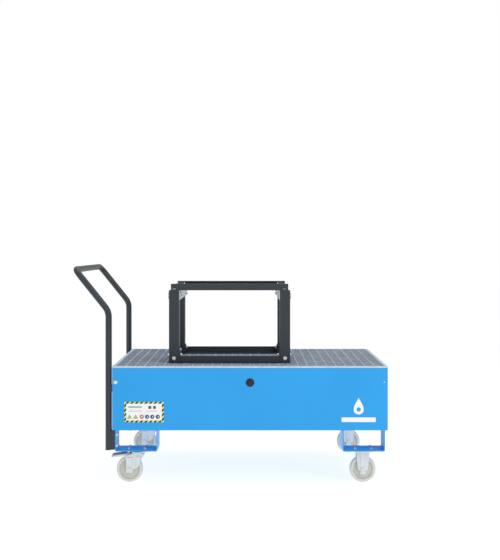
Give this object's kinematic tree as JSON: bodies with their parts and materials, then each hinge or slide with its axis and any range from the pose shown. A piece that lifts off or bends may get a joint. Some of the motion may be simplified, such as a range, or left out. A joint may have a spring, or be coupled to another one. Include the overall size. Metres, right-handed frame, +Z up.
{
  "type": "drum dolly",
  "caption": "Mobile spill-tray drum dolly: folded sump tray with lift-out bar grating, push handle, swivel and fixed castors, and a bolted roller stand for a lying drum.",
  "frame": {"origin": "on the floor, under the middle of the whole dolly's length and width", "axes": "+X along the tray, away from the push handle; +Y across the tray, towards the rear long side; +Z up"},
  "size_m": [1.491, 0.8128, 1.028],
  "materials": {
    "tray_paint": "gloss powder coat",
    "anthracite_paint": "satin powder coat",
    "galvanised": "hot-dip galvanised",
    "zinc": "bright zinc plate",
    "wheel_nylon": "moulded polyamide",
    "dark_rubber": "moulded rubber",
    "dark_plastic": "moulded plastic",
    "label_film": "printed film"
  },
  "bodies": {
    "tray": {"sump_tray": "tray_paint", "grating_ledges": "tray_paint", "corner_angles": "tray_paint", "corner_bolts": "zinc", "corner_nuts": "zinc", "corner_rivets": "zinc", "inspection_plug": "dark_rubber", "label_plate": "label_film", "handle_tube": "anthracite_paint", "handle_lugs": "anthracite_paint", "handle_spacers": "anthracite_paint", "handle_caps": "dark_plastic", "handle_bolts": "zinc", "castor_bolts": "zinc", "castor_nuts": "zinc", "swivel_plates": "zinc", "kingpins": "zinc", "fixed_fork_front": "zinc", "fixed_fork_rear": "zinc", "fixed_axles": "zinc", "bracket_front_left": "tray_paint", "bracket_front_right": "tray_paint", "bracket_rear_left": "tray_paint", "bracket_rear_right": "tray_paint"},
    "grating_panel": {"grating": "galvanised", "grating_edging": "galvanised"},
    "stand": {"low_rail_front": "anthracite_paint", "low_rail_rear": "anthracite_paint", "low_rail_left": "anthracite_paint", "low_rail_right": "anthracite_paint", "top_rail_front": "anthracite_paint", "top_rail_rear": "anthracite_paint", "cradle_plates": "galvanised", "roller_pins": "zinc", "stand_bolts": "zinc", "stand_nuts": "zinc", "stand_upright_front_left": "anthracite_paint", "stand_upright_front_right": "anthracite_paint", "stand_upright_rear_left": "anthracite_paint", "stand_upright_rear_right": "anthracite_paint"},
    "roller_front_left_body": {"roller_front_left": "dark_rubber"},
    "roller_front_right_body": {"roller_front_right": "dark_rubber"},
    "roller_rear_left_body": {"roller_rear_left": "dark_rubber"},
    "roller_rear_right_body": {"roller_rear_right": "dark_rubber"},
    "swivel_front": {"swivel_fork_front": "zinc", "swivel_axle_front": "zinc"},
    "pedal_front": {"brake_pedal_front": "zinc", "brake_pad_front": "dark_plastic"},
    "swivel_rear": {"swivel_fork_rear": "zinc", "swivel_axle_rear": "zinc"},
    "pedal_rear": {"brake_pedal_rear": "zinc", "brake_pad_rear": "dark_plastic"},
    "wheel_front_left_body": {"wheel_front_left": "wheel_nylon", "bush_front_left": "zinc"},
    "wheel_front_right_body": {"wheel_front_right": "wheel_nylon", "bush_front_right": "zinc"},
    "wheel_rear_left_body": {"wheel_rear_left": "wheel_nylon", "bush_rear_left": "zinc"},
    "wheel_rear_right_body": {"wheel_rear_right": "wheel_nylon", "bush_rear_right": "zinc"}
  },
  "joints": [
    {"name": "grating_lift", "type": "slide", "parent": "tray", "child": "grating_panel", "axis": [0, 0, 1], "range_m": [0, 0.4]},
    {"name": "stand_lift", "type": "slide", "parent": "grating_panel", "child": "stand", "axis": [0, 0, 1], "range_m": [0, 0.5]},
    {"name": "roller_front_left_spin", "type": "hinge", "parent": "stand", "child": "roller_front_left_body", "pos_m": [-0.262, -0.145, 0.92], "axis": [1, 0, 0], "continuous": true},
    {"name": "roller_front_right_spin", "type": "hinge", "parent": "stand", "child": "roller_front_right_body", "pos_m": [0.255, -0.145, 0.92], "axis": [1, 0, 0], "continuous": true},
    {"name": "roller_rear_left_spin", "type": "hinge", "parent": "stand", "child": "roller_rear_left_body", "pos_m": [-0.262, 0.065, 0.92], "axis": [1, 0, 0], "continuous": true},
    {"name": "roller_rear_right_spin", "type": "hinge", "parent": "stand", "child": "roller_rear_right_body", "pos_m": [0.255, 0.065, 0.92], "axis": [1, 0, 0], "continuous": true},
    {"name": "swivel_front_turn", "type": "hinge", "parent": "tray", "child": "swivel_front", "pos_m": [-0.4415, -0.336, 0.14], "axis": [0, 0, 1], "continuous": true},
    {"name": "wheel_front_left_spin", "type": "hinge", "parent": "swivel_front", "child": "wheel_front_left_body", "pos_m": [-0.4775, -0.336, 0.0625], "axis": [0, 1, 0], "continuous": true},
    {"name": "wheel_front_right_spin", "type": "hinge", "parent": "tray", "child": "wheel_front_right_body", "pos_m": [0.6325, -0.336, 0.0625], "axis": [0, 1, 0], "continuous": true},
    {"name": "pedal_front_press", "type": "hinge", "parent": "swivel_front", "child": "pedal_front", "pos_m": [-0.4945, -0.336, 0.127], "axis": [0, -1, 0], "range_deg": [0, 8]},
    {"name": "swivel_rear_turn", "type": "hinge", "parent": "tray", "child": "swivel_rear", "pos_m": [-0.4415, 0.336, 0.14], "axis": [0, 0, 1], "continuous": true},
    {"name": "wheel_rear_left_spin", "type": "hinge", "parent": "swivel_rear", "child": "wheel_rear_left_body", "pos_m": [-0.4775, 0.336, 0.0625], "axis": [0, 1, 0], "continuous": true},
    {"name": "wheel_rear_right_spin", "type": "hinge", "parent": "tray", "child": "wheel_rear_right_body", "pos_m": [0.6325, 0.336, 0.0625], "axis": [0, 1, 0], "continuous": true},
    {"name": "pedal_rear_press", "type": "hinge", "parent": "swivel_rear", "child": "pedal_rear", "pos_m": [-0.4945, 0.336, 0.127], "axis": [0, -1, 0], "range_deg": [0, 8]}
  ]
}
